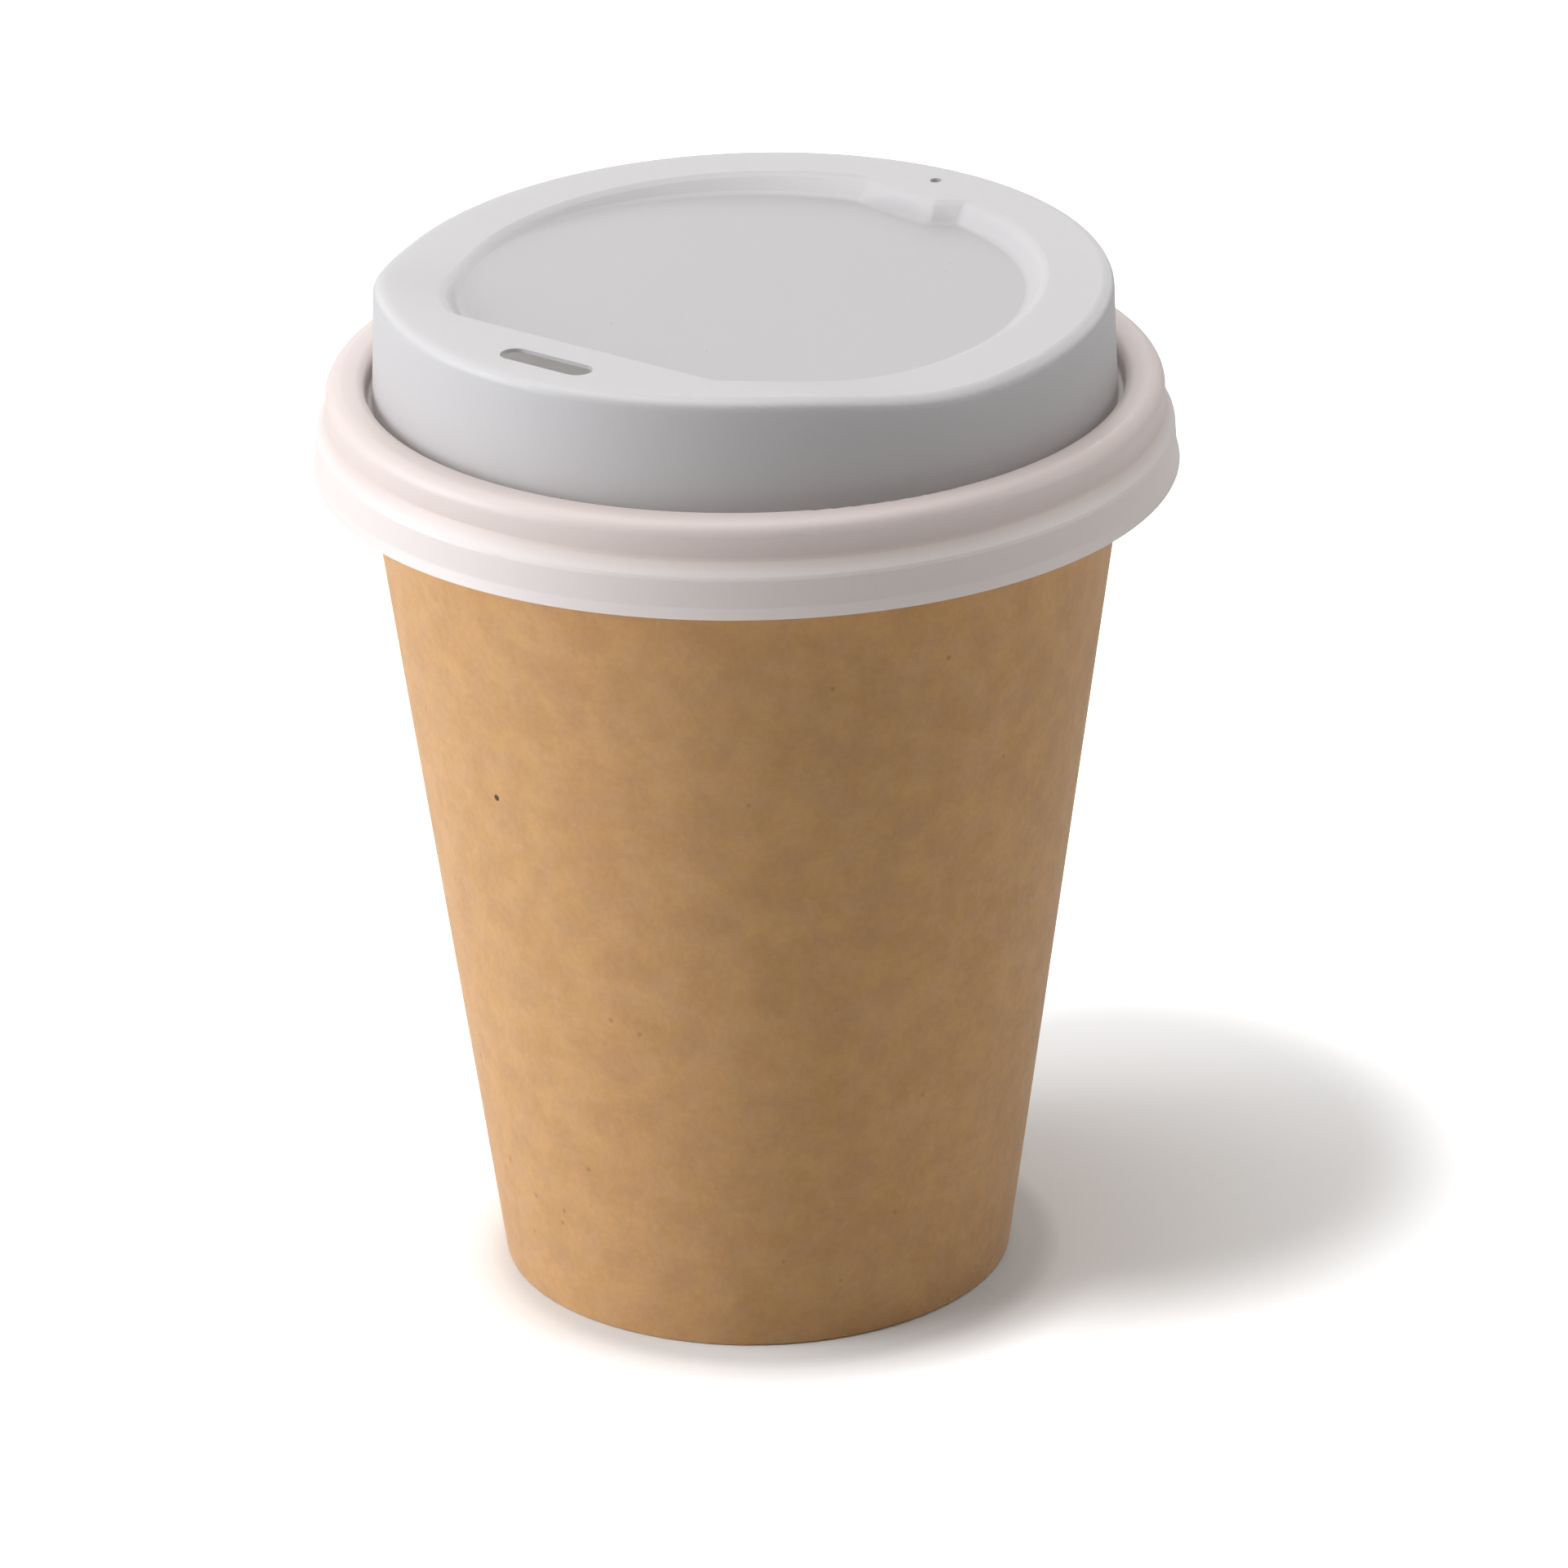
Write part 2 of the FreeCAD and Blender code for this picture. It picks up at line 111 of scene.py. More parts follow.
def spread(tree: bpy.types.NodeTree, value: object, low: float, high: float,
           to_low: float = 0.0, to_high: float = 1.0, smooth: bool = True) -> bpy.types.NodeSocket:
    """Map a value from one range to another, clamped.

    Args:
        tree: The tree to add the node to.
        value: The socket to map.
        low: Value that becomes to_low.
        high: Value that becomes to_high.
        to_low: Result at low.
        to_high: Result at high.
        smooth: Ease in and out.

    Returns:
        The mapped value's socket.
    """
    node = add_node(tree, "MapRange", interpolation_type="SMOOTHSTEP" if smooth else "LINEAR")
    feed(tree, node, i0=value, i1=low, i2=high, i3=to_low, i4=to_high)
    return node.outputs[0]


def take_apart(tree: bpy.types.NodeTree, vector: bpy.types.NodeSocket) -> bpy.types.Node:
    """Split a vector into its three numbers.

    Args:
        tree: The tree to add the node to.
        vector: The vector's socket.

    Returns:
        The node, whose outputs are x, y and z.
    """
    return feed(tree, add_node(tree, "SeparateXYZ"), i0=vector)


def length_of(tree: bpy.types.NodeTree, across: object, along: object) -> bpy.types.NodeSocket:
    """Length of two distances at right angles.

    Args:
        tree: The tree to add the nodes to.
        across: Socket of the one distance.
        along: Socket of the other.

    Returns:
        The length's socket.
    """
    squares = [maths(tree, "POWER", part, 2.0) for part in (across, along)]
    return maths(tree, "SQRT", maths(tree, "ADD", *squares))


def radius_of(tree: bpy.types.NodeTree, apart: bpy.types.Node) -> bpy.types.NodeSocket:
    """Distance from the upright axis.

    Args:
        tree: The tree to add the nodes to.
        apart: Object coordinates, taken apart.

    Returns:
        The distance's socket.
    """
    return length_of(tree, apart.outputs[0], apart.outputs[1])


# Shared effects

class SharedEffect(Enum):
    """Node groups that several finishes use."""

    FIBRES = "fibres"
    GRAIN = "grain"


def new_group(effect: SharedEffect, outputs: tuple[str, ...]) -> tuple[
        bpy.types.NodeTree, bpy.types.NodeSocket, bpy.types.Node]:
    """Start a shader node group.

    Args:
        effect: Which effect the group makes.
        outputs: Name of each number that it puts out.

    Returns:
        The tree, the coordinates that it is given and its output node.
    """
    tree = bpy.data.node_groups.new(effect.value, "ShaderNodeTree")
    tree.interface.new_socket("Vector", in_out="INPUT", socket_type="NodeSocketVector")
    for name in outputs:
        tree.interface.new_socket(name, in_out="OUTPUT", socket_type="NodeSocketFloat")
    return tree, tree.nodes.new("NodeGroupInput").outputs["Vector"], tree.nodes.new("NodeGroupOutput")


def noise(tree: bpy.types.NodeTree, vector: object, scale: float, detail: float = 2.0,
          roughness: float = 0.5, stretch: Axes = (1.0, 1.0, 1.0),
          turn: Axes = (0.0, 0.0, 0.0)) -> bpy.types.NodeSocket:
    """A noise, stretched and turned if asked.

    Args:
        tree: The tree to add it to.
        vector: Coordinates.
        scale: Features per metre.
        detail: Octaves of detail.
        roughness: Weight of the finer octaves.
        stretch: Factor on each axis, under 1 for long features.
        turn: Turn of the pattern, in radians.

    Returns:
        The noise's value.
    """
    mapping = feed(tree, add_node(tree, "Mapping"), Vector=vector, Scale=stretch, Rotation=turn)
    node = feed(tree, add_node(tree, "TexNoise"), Vector=mapping.outputs[0], Scale=scale,
                Detail=detail, Roughness=roughness)
    return node.outputs[0]


@dataclass(frozen=True)
class FibreGrade:
    """Grades of the paper's fibres. Plain names are scales, in features per metre."""

    mottle: float = 230.0
    mottle_detail: float = 4.0
    mottle_roughness: float = 0.62
    drift: float = 300.0
    drift_detail: float = 3.0
    drift_turn: Axes = (1.1, 0.4, 2.0)
    strand: float = 1700.0
    strand_detail: float = 2.0
    level_stretch: Axes = (0.7, 0.7, 1.0)
    upright_stretch: Axes = (1.0, 1.0, 0.6)
    fine_roughness: float = 0.6
    speck: float = 330.0
    speck_rarity: float = 0.86
    speck_core: float = 0.05
    speck_edge: float = 0.14


@dataclass(frozen=True)
class GrainGrade:
    """Grades of the formed sheet's grain. Plain names are scales, in features per metre."""

    fine: float = 3800.0
    waves: float = 55.0
    waves_roughness: float = 0.4


def make_fibres() -> bpy.types.NodeTree:
    """Paper fibres: mottle, a drift of hue, short strands laid two ways, and stray dark bits."""
    tree, place, result = new_group(SharedEffect.FIBRES, ("Cloud", "Hue", "Strands", "Specks"))
    grade = FibreGrade()
    cloud = noise(tree, place, grade.mottle, detail=grade.mottle_detail,
                  roughness=grade.mottle_roughness)
    hue = noise(tree, place, grade.drift, detail=grade.drift_detail, roughness=grade.fine_roughness,
                turn=grade.drift_turn)
    laid = [
        noise(tree, place, grade.strand, detail=grade.strand_detail, roughness=grade.fine_roughness,
              stretch=stretch)
        for stretch in (grade.level_stretch, grade.upright_stretch)
    ]
    strands = maths(tree, "DIVIDE", maths(tree, "ADD", *laid), float(len(laid)))
    specks = feed(tree, add_node(tree, "TexVoronoi"), Vector=place, Scale=grade.speck)
    shade = add_node(tree, "SeparateColor")
    tree.links.new(specks.outputs["Color"], shade.inputs[0])
    rare = maths(tree, "GREATER_THAN", shade.outputs[0], grade.speck_rarity)
    near = spread(tree, specks.outputs["Distance"], grade.speck_core, grade.speck_edge, 1.0, 0.0)
    feed(tree, result, Cloud=cloud, Hue=hue, Strands=strands,
         Specks=maths(tree, "MULTIPLY", rare, near))
    return tree


def make_grain() -> bpy.types.NodeTree:
    """Fine grain of a formed sheet: a tight texture and slow waves."""
    tree, place, result = new_group(SharedEffect.GRAIN, ("Fine", "Waves"))
    grade = GrainGrade()
    feed(tree, result, Fine=noise(tree, place, grade.fine),
         Waves=noise(tree, place, grade.waves, roughness=grade.waves_roughness))
    return tree


SHARED_MAKERS = {SharedEffect.FIBRES: make_fibres, SharedEffect.GRAIN: make_grain}


def shared(tree: bpy.types.NodeTree, effect: SharedEffect, vector: object) -> bpy.types.Node:
    """Place a shared effect in a material, making its group the first time.

    Args:
        tree: The material's tree.
        effect: Which effect.
        vector: Coordinates.

    Returns:
        The group node.
    """
    group = bpy.data.node_groups.get(effect.value) or SHARED_MAKERS[effect]()
    node = tree.nodes.new("ShaderNodeGroup")
    node.node_tree = group
    return feed(tree, node, Vector=vector)


def new_material(name: str) -> tuple[bpy.types.Material, bpy.types.NodeTree, bpy.types.Node,
                                     bpy.types.NodeSocket]:
    """A node material with its Principled shader and Object coordinates.

    Args:
        name: The material's name.

    Returns:
        The material, its tree, its shader and the coordinates.
    """
    material = bpy.data.materials.new(name)
    material.use_nodes = True
    tree = material.node_tree
    shader = tree.nodes["Principled BSDF"]
    return material, tree, shader, add_node(tree, "TexCoord").outputs["Object"]


def height_bump(tree: bpy.types.NodeTree, height: object, depth: float) -> bpy.types.NodeSocket:
    """A bump of this height in metres.

    Args:
        tree: The material's tree.
        height: Socket from 0 to 1.
        depth: Height at 1, in metres.

    Returns:
        The bumped normal.
    """
    return feed(tree, add_node(tree, "Bump"), Height=height, Distance=depth, Strength=1.0).outputs[0]


def spot(tree: bpy.types.NodeTree, place: bpy.types.NodeSocket, centre: Axes, size: float,
         core: float, strength: float = 1.0) -> bpy.types.NodeSocket:
    """A small round mark with a soft edge.

    Args:
        tree: The material's tree.
        place: Object coordinates.
        centre: Where the mark is.
        size: Its radius, in metres.
        core: Share of the radius that is full.
        strength: Its strength in the core.

    Returns:
        The mark's mask.
    """
    near = feed(tree, add_node(tree, "VectorMath", operation="DISTANCE"), i0=place, i1=centre)
    return spread(tree, near.outputs["Value"], size * core, size, strength, 0.0)


# Finishes

class BoardPart(Enum):
    """Which piece of board is dressed, as each shows its lining elsewhere."""

    WALL = "kraft_wall"
    BOTTOM = "kraft_bottom"


@dataclass(frozen=True)
class CupShape:
    """Sizes of the board cup that its finish follows, in metres."""

    base_radius: float = 0.0283
    lean: float = math.radians(7.77)
    height: float = 0.1033
    board: float = 0.00038
    curl: float = 0.00155
    hem: float = 0.0068
    bottom_lining: float = 0.0086

    @property
    def curl_up(self) -> float:
        """Height of the middle of the rolled rim's section."""
        return self.height - self.curl

    @property
    def curl_out(self) -> float:
        """Radius of the middle of the rolled rim's section."""
        wall = self.base_radius + self.curl_up * math.tan(self.lean)
        return wall + (self.curl - self.board) / math.cos(self.lean)


@dataclass(frozen=True)
class KraftBoard:
    """Uncoated brown board with a smooth white lining on the drink's side."""

    shape: CupShape = CupShape()
    yellow: Colour = (0.566, 0.320, 0.128)
    pink: Colour = (0.540, 0.313, 0.147)
    dark: Colour = (0.394, 0.206, 0.081)
    fleck: Colour = (0.05, 0.03, 0.02)
    speck: Colour = (0.16, 0.09, 0.05)
    lining: Colour = (0.90, 0.89, 0.87)
    roughness: float = 0.80
    lining_roughness: float = 0.34
    shine: float = 0.25
    lining_shine: float = 0.50
    fuzz: float = 0.22
    fuzz_roughness: float = 0.45
    mottle_range: Pair = (0.30, 0.70)
    hue_range: Pair = (0.32, 0.68)
    strand_range: Pair = (0.34, 0.66)
    mottle_strength: float = 0.38
    strand_strength: float = 0.16
    speck_strength: float = 0.35
    lining_mottle: float = 0.05
    roughness_swing: float = 0.06
    strand_height: float = 0.00003
    lining_smoothness: float = 0.8
    inner_share: float = 0.7
    outer_share: float = 0.8
    hem_share: float = 0.25
    curl_margin: float = 0.0001
    fleck_core: float = 0.6
    fleck_size: float = 0.00046
    fleck_place: Axes = (-0.02726, -0.02520, 0.0647)

    def on_curl(self, tree: bpy.types.NodeTree, up: bpy.types.NodeSocket,
                outward: bpy.types.NodeSocket) -> bpy.types.NodeSocket:
        """Which points belong to the rolled rim.

        Args:
            tree: The material's tree.
            up: Height.
            outward: Distance out from the wall's outer face.

        Returns:
            1 on the rolled rim, 0 on the wall.
        """
        shape = self.shape
        lowest = shape.curl_up - shape.curl - self.curl_margin
        on_top = maths(tree, "GREATER_THAN", up, shape.curl_up)
        hanging = maths(tree, "MULTIPLY",
                        maths(tree, "GREATER_THAN", outward, self.outer_share * shape.board),
                        maths(tree, "GREATER_THAN", up, lowest))
        return maths(tree, "MAXIMUM", on_top, hanging)

    def outer_ply(self, tree: bpy.types.NodeTree, up: bpy.types.NodeSocket,
                  reach: bpy.types.NodeSocket) -> bpy.types.NodeSocket:
        """Which points lie outside the middle of the rolled sheet.

        Args:
            tree: The material's tree.
            up: Height.
            reach: Distance from the cup's axis.

        Returns:
            1 on the roll's outside, 0 within it.
        """
        shape = self.shape
        from_middle = length_of(tree, maths(tree, "SUBTRACT", reach, shape.curl_out),
                                maths(tree, "SUBTRACT", up, shape.curl_up))
        return maths(tree, "GREATER_THAN", from_middle, shape.curl - shape.board / 2)

    def lined(self, tree: bpy.types.NodeTree, place: bpy.types.NodeSocket,
              part: BoardPart) -> bpy.types.NodeSocket:
        """Where the lining shows: inside, and round the outside of the rolled rim.

        Args:
            tree: The material's tree.
            place: Object coordinates.
            part: The piece of board.

        Returns:
            1 on the lining, 0 on kraft.
        """
        shape = self.shape
        apart = take_apart(tree, place)
        up = apart.outputs[2]
        if part is BoardPart.BOTTOM:
            return maths(tree, "GREATER_THAN", up, shape.bottom_lining)
        reach = radius_of(tree, apart)
        wall = maths(tree, "MULTIPLY_ADD", up, math.tan(shape.lean), shape.base_radius)
        outward = maths(tree, "SUBTRACT", reach, wall)
        inside = maths(tree, "MULTIPLY",
                       maths(tree, "LESS_THAN", outward, -self.inner_share * shape.board),
                       maths(tree, "GREATER_THAN", up, shape.hem + self.hem_share * shape.board))
        on_curl = self.on_curl(tree, up, outward)
        off_curl = maths(tree, "SUBTRACT", 1.0, on_curl)
        return maths(tree, "ADD",
                     maths(tree, "MULTIPLY", on_curl, self.outer_ply(tree, up, reach)),
                     maths(tree, "MULTIPLY", off_curl, inside))

    def brown(self, tree: bpy.types.NodeTree, fibres: bpy.types.Node, cloud: bpy.types.NodeSocket,
              strands: bpy.types.NodeSocket) -> bpy.types.NodeSocket:
        """The bare board's mottled brown, which drifts between yellow and pink, with its specks.

        Args:
            tree: The material's tree.
            fibres: The node of the shared fibres.
            cloud: Mottle from 0 to 1.
            strands: Short fibres from 0 to 1.

        Returns:
            The colour.
        """
        hue = spread(tree, fibres.outputs["Hue"], *self.hue_range)
        shade = maths(tree, "ADD", maths(tree, "MULTIPLY", cloud, self.mottle_strength),
                      maths(tree, "MULTIPLY", strands, self.strand_strength))
        pale = mix_colour(tree, hue, colour4(self.yellow), colour4(self.pink))
        shaded = mix_colour(tree, shade, pale, colour4(self.dark))
        specks = maths(tree, "MULTIPLY", fibres.outputs["Specks"], self.speck_strength)
        return mix_colour(tree, specks, shaded, colour4(self.speck))

    def make(self, part: BoardPart) -> bpy.types.Material:
        """Build the material.

        Args:
            part: The piece of board.

        Returns:
            The finished material.
        """
        material, tree, shader, place = new_material(part.value)
        fibres = shared(tree, SharedEffect.FIBRES, place)
        cloud = spread(tree, fibres.outputs["Cloud"], *self.mottle_range)
        strands = spread(tree, fibres.outputs["Strands"], *self.strand_range)
        fleck = spot(tree, place, self.fleck_place, self.fleck_size, self.fleck_core)
        kraft = mix_colour(tree, fleck, self.brown(tree, fibres, cloud, strands),
                           colour4(self.fleck))
        lined = self.lined(tree, place, part)
        lining = mix_colour(tree, maths(tree, "MULTIPLY", cloud, self.lining_mottle),
                            colour4(self.lining), colour4(self.dark))
        rough = spread(tree, strands, 0.0, 1.0, self.roughness - self.roughness_swing,
                       self.roughness + self.roughness_swing)
        plain = maths(tree, "SUBTRACT", 1.0, maths(tree, "MULTIPLY", lined, self.lining_smoothness))
        height = maths(tree, "MULTIPLY", fibres.outputs["Strands"], plain)
        feed(tree, shader, Base_Color=mix_colour(tree, lined, kraft, lining),
             Roughness=spread(tree, lined, 0.0, 1.0, rough, self.lining_roughness, smooth=False),
             Specular_IOR_Level=spread(tree, lined, 0.0, 1.0, self.shine, self.lining_shine),
             Sheen_Weight=spread(tree, lined, 0.0, 1.0, self.fuzz, 0.0),
             Sheen_Roughness=self.fuzz_roughness,
             Normal=height_bump(tree, height, self.strand_height))
        return material


@dataclass(frozen=True)
class FormedSheet:
    """White plastic sheet that lets some light through: cool on the free dome, with a painted warm
    tint over the rim for the brown cup's light showing through.
    """

    dome: Colour = (0.610, 0.597, 0.603)
    # Painted shade: the recess floor is coloured greyer than the dome for the light that doesn't
    # reach into the recess.
    hollow: Colour = (0.515, 0.502, 0.509)
    # Painted light: the band and skirt over the cup's rim are tinted warm for the brown cup's light
    # showing through the sheet; the band is also set darker and pinker than the skirt.
    band: Colour = (0.735, 0.655, 0.628)
    skirt: Colour = (0.800, 0.772, 0.772)
    speck: Colour = (0.45, 0.40, 0.36)
    mark: Colour = (0.20, 0.16, 0.13)
    roughness: float = 0.42
    let_through: float = 0.28
    # Painted light: the colour of the light let through is set by which way the face points, near
    # full on flat faces and about a third on the walls, not by the sheet itself.
    flat_through: Colour = (0.98, 0.97, 0.97)
    wall_through: Colour = (0.32, 0.31, 0.31)
    flat_from: float = 0.30
    flat_to: float = 0.85
    warm_from: float = 0.0398
    warm_to: float = 0.0415
    band_low: float = 0.0985
    band_high: float = 0.1000
    hollow_reach: Pair = (0.0300, 0.0312)
    hollow_height: Pair = (0.1132, 0.1150)
    wave_range: Pair = (0.3, 0.7)
    wave_strength: float = 0.03
    grain_range: Pair = (0.3, 0.7)
    roughness_swing: float = 0.05
    grain_height: float = 0.00001
    mark_size: float = 0.00018
    mark_core: float = 0.4
    mark_strength: float = 0.7
    mark_level: float = 0.11292
    mark_places: tuple[Pair, ...] = (
        (0.02247, 0.00768), (0.02188, 0.00514), (-0.00397, -0.01837), (-0.01419, -0.00956))

    def white(self, tree: bpy.types.NodeTree, up: bpy.types.NodeSocket, reach: bpy.types.NodeSocket,
              over_rim: bpy.types.NodeSocket) -> bpy.types.NodeSocket:
        """The sheet's white: cool on the dome, with painted shade in the hollow and a painted warm
        tint on the band and skirt for the brown cup's light showing through.

        Args:
            tree: The material's tree.
            up: Height.
            reach: Distance from the lid's axis.
            over_rim: 1 over the cup's rim, 0 on the free dome.

        Returns:
            The colour.
        """
        # Painted light: the warm band and skirt colours stand for the brown cup's light showing
        # through.
        on_band = spread(tree, up, self.band_low, self.band_high)
        warm = mix_colour(tree, on_band, colour4(self.skirt), colour4(self.band))
        # Painted shade: mask of the recess floor, which gets the greyer colour.
        hollow_shade_mask = maths(tree, "MULTIPLY", spread(tree, reach, *self.hollow_reach, 1.0, 0.0),
                          spread(tree, up, *self.hollow_height, 1.0, 0.0))
        cool = mix_colour(tree, hollow_shade_mask, colour4(self.dome), colour4(self.hollow))
        return mix_colour(tree, over_rim, cool, warm)

    def marked(self, tree: bpy.types.NodeTree, place: bpy.types.NodeSocket,
               tone: bpy.types.NodeSocket) -> bpy.types.NodeSocket:
        """Add the small marks in the recess.

        Args:
            tree: The material's tree.
            place: Object coordinates.
            tone: The sheet's colour.

        Returns:
            The colour with its marks.
        """
        for across, along in self.mark_places:
            mark = spot(tree, place, (across, along, self.mark_level), self.mark_size,
                        self.mark_core, self.mark_strength)
            tone = mix_colour(tree, mark, tone, colour4(self.mark))
        return tone

    def glow(self, tree: bpy.types.NodeTree, geometry: bpy.types.Node, over_rim: bpy.types.NodeSocket,
             tone: bpy.types.NodeSocket) -> bpy.types.NodeSocket:
        """Colour of the light that comes through, painted by facing: bright where the dome lies flat,
        dim on its walls, and the painted warm tint over the rim.

        Args:
            tree: The material's tree.
            geometry: The Geometry node.
            over_rim: 1 over the cup's rim, 0 on the free dome.
            tone: The sheet's colour.

        Returns:
            The colour.
        """
        upward = take_apart(tree, geometry.outputs["Normal"]).outputs[2]
        # Painted light: faces that lie flat let more light through than upright ones.
        flat = spread(tree, maths(tree, "ABSOLUTE", upward), self.flat_from, self.flat_to)
        free = mix_colour(tree, flat, colour4(self.wall_through), colour4(self.flat_through))
        return mix_colour(tree, over_rim, free, tone)

    def make(self) -> bpy.types.Material:
        """Build the material, which light leaves freely once it is within the sheet.

        Returns:
            The finished material.
        """
        material, tree, shader, place = new_material("formed_sheet")
        grain = shared(tree, SharedEffect.GRAIN, place)
        apart = take_apart(tree, place)
        reach = radius_of(tree, apart)
        # Mask over the cup's rim, where the painted warm tint goes.
        over_rim = spread(tree, reach, self.warm_from, self.warm_to)
        waves = maths(tree, "MULTIPLY", spread(tree, grain.outputs["Waves"], *self.wave_range),
                      self.wave_strength)
        waved = mix_colour(tree, waves, self.white(tree, apart.outputs[2], reach, over_rim),
                           colour4(self.speck))
        tone = self.marked(tree, place, waved)
        normal = height_bump(tree, grain.outputs["Fine"], self.grain_height)
        rough = spread(tree, grain.outputs["Fine"], *self.grain_range,
                       self.roughness - self.roughness_swing, self.roughness + self.roughness_swing)
        feed(tree, shader, Base_Color=tone, Normal=normal, Roughness=rough)
        geometry = add_node(tree, "NewGeometry")
        through = feed(tree, add_node(tree, "BsdfTranslucent"), Normal=normal,
                       Color=self.glow(tree, geometry, over_rim, tone))
        both = feed(tree, add_node(tree, "MixShader"), i0=self.let_through, i1=shader.outputs[0],
                    i2=through.outputs[0])
        leaving = add_node(tree, "BsdfTransparent")
        sheet = feed(tree, add_node(tree, "MixShader"), i0=geometry.outputs["Backfacing"],
                     i1=both.outputs[0], i2=leaving.outputs[0])
        tree.links.new(sheet.outputs[0], tree.nodes["Material Output"].inputs[0])
        return material


# Pieces

def dress(node: bpy.types.Object, material: bpy.types.Material) -> None:
    """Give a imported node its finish.

    Args:
        node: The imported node.
        material: Its finish.
    """
    node.data.materials.clear()
    node.data.materials.append(material)
    LOG.info("%s dressed in %s", node.name, material.name)


@dataclass
class Cup:
    """The board cup: its sidewall and its bottom."""

    board: KraftBoard = KraftBoard()

    def build(self, nodes: dict[str, bpy.types.Object]) -> None:
        """Dress the cup's pieces.

        Args:
            nodes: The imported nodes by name.
        """
        dress(nodes["cup_sidewall"], self.board.make(BoardPart.WALL))
        dress(nodes["cup_bottom"], self.board.make(BoardPart.BOTTOM))


@dataclass
class Lid:
    """The formed lid."""

    sheet: FormedSheet = FormedSheet()

    def build(self, nodes: dict[str, bpy.types.Object]) -> None:
        """Dress the lid.

        Args:
            nodes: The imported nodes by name.
        """
        dress(nodes["sip_lid"], self.sheet.make())


# Stage

@dataclass
class SoftBox:
    """One square studio lamp."""

    name: str
    place: Axes
    watts: float
    size: float = 0.6
    aim: Axes = (0.0, 0.0, 0.06)
    tint: Colour = (1.0, 1.0, 1.0)

    def make(self) -> None:
        """Hang the lamp."""
        data = bpy.data.lights.new(self.name, "AREA")
        data.shape = "SQUARE"
        data.size = self.size
        data.energy = self.watts
        data.color = self.tint
        lamp = bpy.data.objects.new(self.name, data)
        bpy.context.scene.collection.objects.link(lamp)
        lamp.location = self.place
        lamp.rotation_euler = (Vector(self.aim) - lamp.location).to_track_quat("-Z", "Y").to_euler()


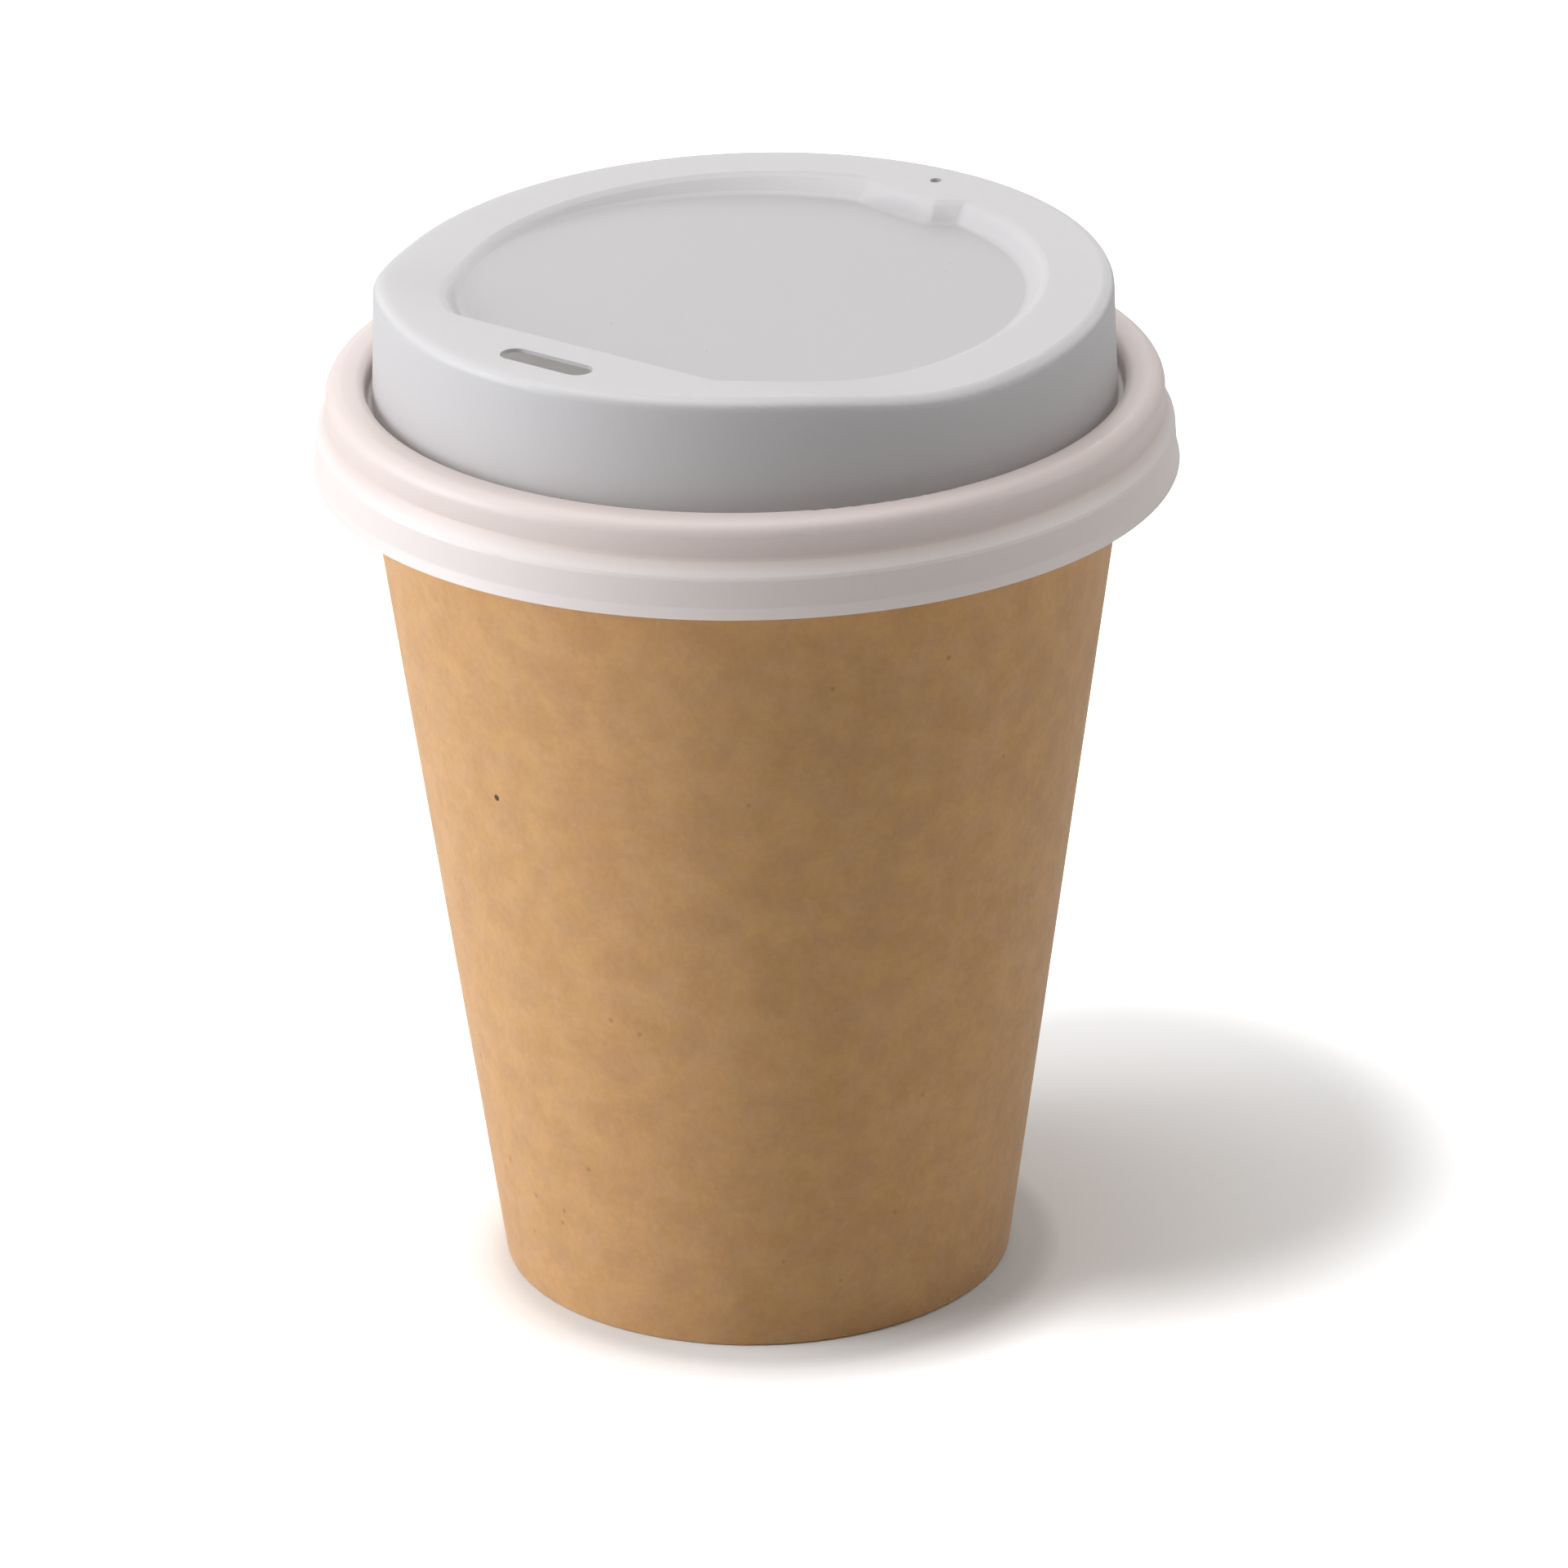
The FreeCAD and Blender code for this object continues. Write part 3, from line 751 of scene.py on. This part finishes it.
@dataclass
class Studio:
    """Pale floor, soft lamps and the camera at the photograph's angle."""

    floor_size: float = 6.0
    floor_white: float = 0.80
    floor_seen: float = 1.0
    # The floor glows for the camera: a painted lift to white, held low inside the patches drawn round
    # the cup's shadow and foot and ramped across their edges, so the shadow's outline and fade follow
    # those patches.
    glow_near: float = 0.02
    glow_far: float = 0.40
    glow_horizon: float = 1.0
    horizon_from: float = 0.25
    horizon_to: float = 0.90
    cast_place: Pair = (0.042, 0.022)
    cast_reach: Pair = (0.036, 0.044)
    cast_edge: Pair = (0.70, 1.22)
    # Painted shadow: the floor that the camera sees is this much darker inside the patch drawn round
    # the cast shadow.
    cast_painted_shadow: float = 0.95
    foot_place: Pair = (0.002, -0.002)
    foot_reach: Pair = (0.029, 0.029)
    foot_edge: Pair = (1.07, 1.38)
    # Painted contact shadow: the camera sees the floor darken to this grey at the cup's foot, fading
    # out across a band round it.
    foot_painted_shadow: float = 0.76
    foot_painted_shadow_to: float = 1.14
    surround: Colour = (1.0, 1.0, 1.0)
    cool: Colour = (0.985, 1.0, 1.03)
    lens: float = 207.0
    sensor: float = 36.0
    nearest: float = 0.01
    distance: float = 0.9942
    elevation: float = 23.39
    roll: float = -0.8155
    target: Axes = (0.00359, 0.0, 0.05494)

    @staticmethod
    def away(tree: bpy.types.NodeTree, apart: bpy.types.Node, place: Pair,
             reach: Pair) -> bpy.types.NodeSocket:
        """How far a point of the floor lies from an ellipse's middle, 1 on the ellipse.

        Args:
            tree: The tree to add the nodes to.
            apart: The floor's coordinates, taken apart.
            place: The ellipse's middle.
            reach: Its half lengths.

        Returns:
            The distance's socket.
        """
        offsets = [maths(tree, "SUBTRACT", apart.outputs[index], place[index]) for index in (0, 1)]
        shares = [maths(tree, "DIVIDE", offset, half) for offset, half in zip(offsets, reach)]
        return length_of(tree, *shares)

    def floor_finish(self) -> bpy.types.Material:
        """White that keeps the cup's rendered shadow in patches drawn round it, darkened there with
        painted shadow, and glows plain white beyond them.

        Returns:
            The floor's material.
        """
        material = bpy.data.materials.new("white_floor")
        material.use_nodes = True
        tree = material.node_tree
        tree.nodes.clear()
        seen = add_node(tree, "LightPath").outputs["Is Camera Ray"]
        apart = take_apart(tree, add_node(tree, "TexCoord").outputs["Object"])
        from_cast = self.away(tree, apart, self.cast_place, self.cast_reach)
        from_foot = self.away(tree, apart, self.foot_place, self.foot_reach)
        # Painted light: outside these patches the glow lifts the floor to white and hides the
        # rendered shadow.
        clear = maths(tree, "MULTIPLY", spread(tree, from_cast, *self.cast_edge),
                      spread(tree, from_foot, *self.foot_edge))
        open_glow = spread(tree, radius_of(tree, apart), self.horizon_from, self.horizon_to,
                           self.glow_far, self.glow_horizon)
        glow = spread(tree, clear, 0.0, 1.0, self.glow_near, open_glow, smooth=False)
        # Painted shadow: the floor that the camera sees is darkened at the cup's foot and inside the
        # cast patch, on top of the rendered shadow.
        painted_foot_shadow = spread(tree, from_foot, 1.0, self.foot_painted_shadow_to, self.foot_painted_shadow, self.floor_seen)
        painted_cast_shadow = spread(tree, from_cast, *self.cast_edge, self.cast_painted_shadow, 1.0)
        grey = maths(tree, "MULTIPLY", painted_foot_shadow, painted_cast_shadow)
        shown = feed(tree, add_node(tree, "CombineColor"), i0=grey, i1=grey, i2=grey)
        white = mix_colour(tree, seen, colour4((self.floor_white,) * 3), shown.outputs[0])
        lit = feed(tree, add_node(tree, "BsdfDiffuse"), Color=white)
        lift = feed(tree, add_node(tree, "Emission"), Strength=maths(tree, "MULTIPLY", seen, glow))
        both = feed(tree, add_node(tree, "AddShader"), i0=lit.outputs[0], i1=lift.outputs[0])
        tree.links.new(both.outputs[0], add_node(tree, "OutputMaterial").inputs[0])
        return material

    def lay_floor(self) -> None:
        """Lay the floor."""
        bpy.ops.object.select_all(action="DESELECT")
        bpy.ops.mesh.primitive_plane_add(size=self.floor_size)
        floor = bpy.context.object
        floor.name = "floor"
        floor.data.materials.append(self.floor_finish())

    def light_world(self) -> None:
        """A white surround for the camera, for what shines and for what is seen through."""
        world = bpy.data.worlds.new("studio")
        bpy.context.scene.world = world
        world.use_nodes = True
        tree = world.node_tree
        rays = add_node(tree, "LightPath")
        seen = maths(tree, "MAXIMUM", rays.outputs["Is Camera Ray"],
                     maths(tree, "MAXIMUM", rays.outputs["Is Glossy Ray"],
                           rays.outputs["Is Transmission Ray"]))
        feed(tree, tree.nodes["Background"], Color=colour4(self.surround), Strength=seen)

    def set_camera(self) -> None:
        """Stand the camera where the photograph was taken."""
        rise, turn = math.radians(self.elevation), math.radians(self.roll)
        back = Vector((0.0, -math.cos(rise), math.sin(rise)))
        right = Vector((1.0, 0.0, 0.0))
        upward = back.cross(right)
        across = right * math.cos(turn) + upward * math.sin(turn)
        up = upward * math.cos(turn) - right * math.sin(turn)
        data = bpy.data.cameras.new("camera")
        data.lens = self.lens
        data.sensor_width = self.sensor
        data.clip_start = self.nearest
        camera = bpy.data.objects.new("camera", data)
        bpy.context.scene.collection.objects.link(camera)
        matrix = Matrix((across, up, back)).transposed().to_4x4()
        matrix.translation = Vector(self.target) + back * self.distance
        camera.matrix_world = matrix
        bpy.context.scene.camera = camera

    def build(self) -> None:
        """Set up the whole stage."""
        self.lay_floor()
        self.light_world()
        for lamp in (
            SoftBox("overhead", (0.0, 0.0, 1.06), 7.1, size=0.9),
            SoftBox("side_left", (-0.97, 0.0, 0.32), 5.0, tint=self.cool),
            SoftBox("side_front_left", (-0.933, -0.25, 0.319), 5.0, tint=self.cool),
            SoftBox("high_left", (-0.483, -0.129, 0.926), 2.55),
            SoftBox("fill_right", (0.94, 0.0, 0.40), 2.5),
            SoftBox("rear", (0.0, 0.87, 0.56), 1.4),
        ):
            lamp.make()
        self.set_camera()
        bpy.context.scene.view_settings.view_transform = "Standard"
        LOG.info("stage ready")


def main() -> None:
    """Build the cup, its lid and the studio."""
    logging.basicConfig(level=logging.INFO)
    Cup().build(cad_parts)
    Lid().build(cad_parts)
    Studio().build()


if __name__ == "__main__":
    main()
